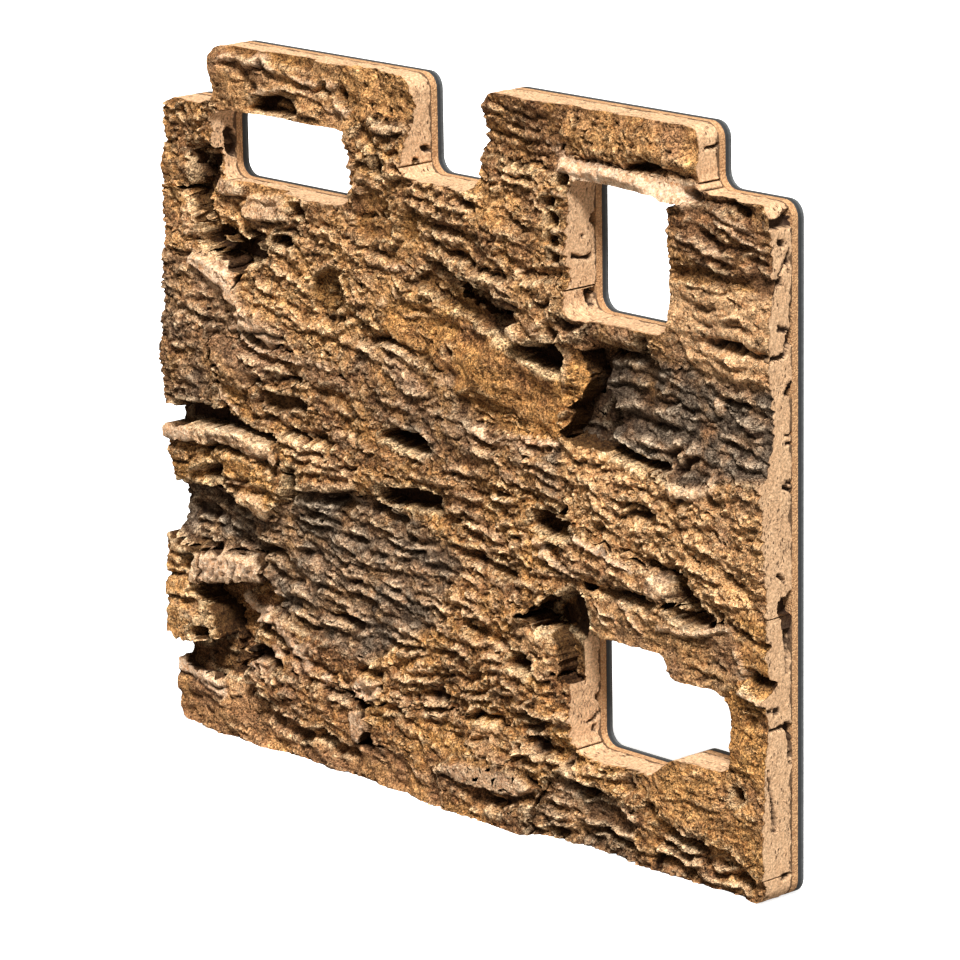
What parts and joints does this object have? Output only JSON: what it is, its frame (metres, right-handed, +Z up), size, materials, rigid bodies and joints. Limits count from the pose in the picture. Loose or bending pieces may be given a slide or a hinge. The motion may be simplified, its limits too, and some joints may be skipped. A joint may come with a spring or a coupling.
{
  "type": "cork bark wall panel",
  "caption": "Wall panel of rough cork bark pieces on a pressed cork board and a dark backing sheet, with tabs, a notch and windows sawn through it.",
  "frame": {"origin": "centre of the sawn bottom edge, at the height of the surface that the panel stands on", "axes": "+Z up, +X to the right seen from the front, the bark faces -Y and the backing sheet +Y"},
  "size_m": [0.642, 0.052, 0.546],
  "materials": {
    "backing": "matt charcoal sheet with a paler worn arris",
    "pressed_cork": "fine pressed cork granules, sawn",
    "bark_ochre": "crusty ochre cork bark, pale where sawn",
    "bark_brown": "furrowed brown cork bark, pale where sawn",
    "bark_grey": "ridged grey cork bark, pale where sawn",
    "bark_pale": "freshly broken pale cork"
  },
  "bodies": {
    "root": {"backing_sheet": "backing", "cork_board": "pressed_cork", "bark_left_chunk": "bark_ochre", "bark_left_flake": "bark_pale", "bark_left_lobe": "bark_brown", "bark_lower_left_ridge": "bark_pale", "bark_fracture_strip": "bark_pale", "bark_reddish_flake": "bark_brown", "bark_bottom_left": "bark_brown", "bark_bottom_bulge": "bark_brown", "bark_bottom_row": "bark_ochre", "bark_hollow_ledge": "bark_pale", "bark_window_tongue": "bark_ochre", "bark_pale_ridge": "bark_pale", "bark_crust_overhang": "bark_ochre", "bark_pale_slab": "bark_pale", "bark_left_ochre": "bark_ochre", "bark_left_rough": "bark_grey", "bark_pale_rim": "bark_brown", "bark_window_jamb": "bark_brown", "bark_upper_crust": "bark_ochre", "bark_notch_crust": "bark_ochre", "bark_caramel": "bark_ochre", "bark_grey_flakes": "bark_grey", "bark_lower_brown": "bark_brown", "bark_left_shoulder": "bark_brown", "bark_window_return": "bark_brown", "bark_left_sill": "bark_ochre", "bark_tab_left_strip": "bark_brown", "bark_tab_left_end": "bark_ochre", "bark_notch_block": "bark_brown", "bark_tab_right_layers": "bark_brown", "bark_window_lintel": "bark_pale", "bark_tab_right_end": "bark_ochre", "bark_right_shoulder": "bark_brown", "bark_right_ochre": "bark_ochre", "bark_right_sill": "bark_brown", "bark_dark_waves": "bark_grey", "bark_golden_crust": "bark_ochre", "bark_right_column": "bark_ochre", "bark_lower_right": "bark_ochre", "bark_bottom_strip": "bark_brown", "bark_bottom_grey": "bark_grey", "bark_lower_sill": "bark_ochre", "bark_centre_ridges": "bark_ochre", "bark_crust_rows": "bark_ochre", "bark_orange_heart": "bark_ochre", "bark_grey_slab": "bark_grey", "bark_broken_flakes": "bark_brown", "bark_recess_floor": "bark_brown"}
  },
  "joints": []
}
